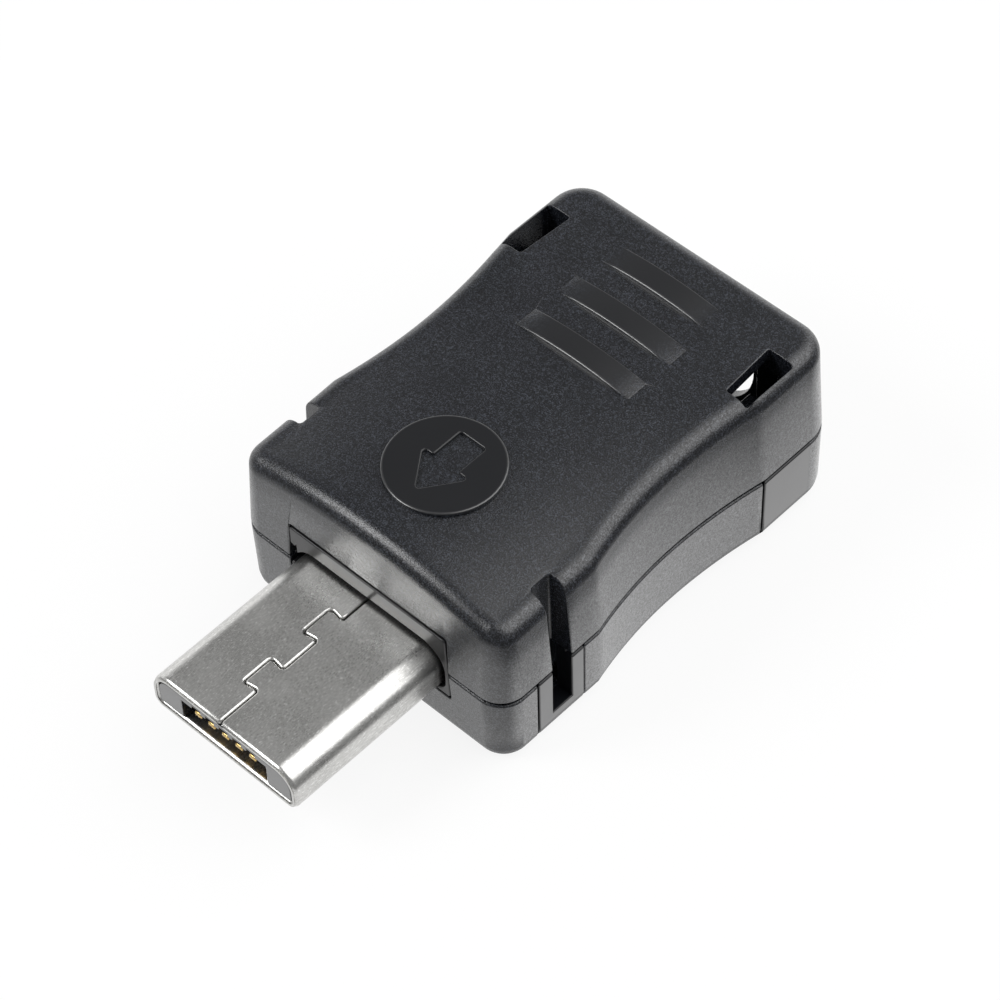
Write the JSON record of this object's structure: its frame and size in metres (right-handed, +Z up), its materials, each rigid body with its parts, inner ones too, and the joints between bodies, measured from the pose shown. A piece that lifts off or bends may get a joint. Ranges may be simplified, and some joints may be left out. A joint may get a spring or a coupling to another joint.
{
  "type": "micro usb plug",
  "caption": "Micro USB plug in a waisted black snap-together housing, with grip bars, a raised arrow disc, a folded metal shell, gold contacts and sprung latch hooks.",
  "frame": {"origin": "on the floor under the middle of the overall length, on the housing's middle plane", "axes": "-Y is the way the plug points, +Y is the housing's rear, +X is to the right seen from the rear with the arrow up, +Z is up from the flat underside to the arrow's face"},
  "size_m": [0.0126, 0.0242, 0.0078],
  "materials": {
    "housing": "fine spark grain",
    "plug_metal": "brushed nickel",
    "insulator": "moulded, satin",
    "contact_gold": "gold flash",
    "latch_steel": "spring steel"
  },
  "bodies": {
    "plug_body": {"lower_shell": "housing", "upper_shell": "housing", "collar": "housing", "plug_shell": "plug_metal", "insulator": "insulator", "contact_1": "contact_gold", "contact_2": "contact_gold", "contact_3": "contact_gold", "contact_4": "contact_gold", "contact_5": "contact_gold"},
    "latch_left_body": {"latch_left": "latch_steel"},
    "latch_right_body": {"latch_right": "latch_steel"}
  },
  "joints": [
    {"name": "latch_left_press", "type": "hinge", "parent": "plug_body", "child": "latch_left_body", "pos_m": [-0.00255, -0.00417, 0.0027], "axis": [-1, 0, 0], "range_deg": [0, 3], "stiffness_Nm_per_rad": 0.02},
    {"name": "latch_right_press", "type": "hinge", "parent": "plug_body", "child": "latch_right_body", "pos_m": [0.00255, -0.00417, 0.0027], "axis": [-1, 0, 0], "range_deg": [0, 3], "stiffness_Nm_per_rad": 0.02}
  ]
}
